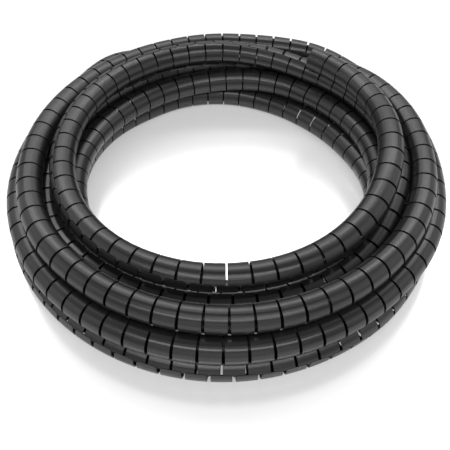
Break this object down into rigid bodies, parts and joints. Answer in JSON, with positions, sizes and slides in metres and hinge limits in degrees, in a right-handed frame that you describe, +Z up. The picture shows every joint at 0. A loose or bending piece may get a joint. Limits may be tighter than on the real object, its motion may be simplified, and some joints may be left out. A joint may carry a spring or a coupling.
{
  "type": "spiral cable wrap coil",
  "caption": "Loose coil of flexible slit plastic wrap tube that is wound round a bundle of cables to hold and protect it.",
  "frame": {"origin": "on the floor, at the middle of the coil", "axes": "+Z up through the coil's open centre; -Y towards the side that the picture was taken from"},
  "size_m": [0.4438, 0.4438, 0.0845],
  "materials": {
    "wrap_plastic": "satin charcoal black polyolefin, moulded smooth"
  },
  "bodies": {
    "root": {"wrap_coil": "wrap_plastic"}
  },
  "joints": []
}
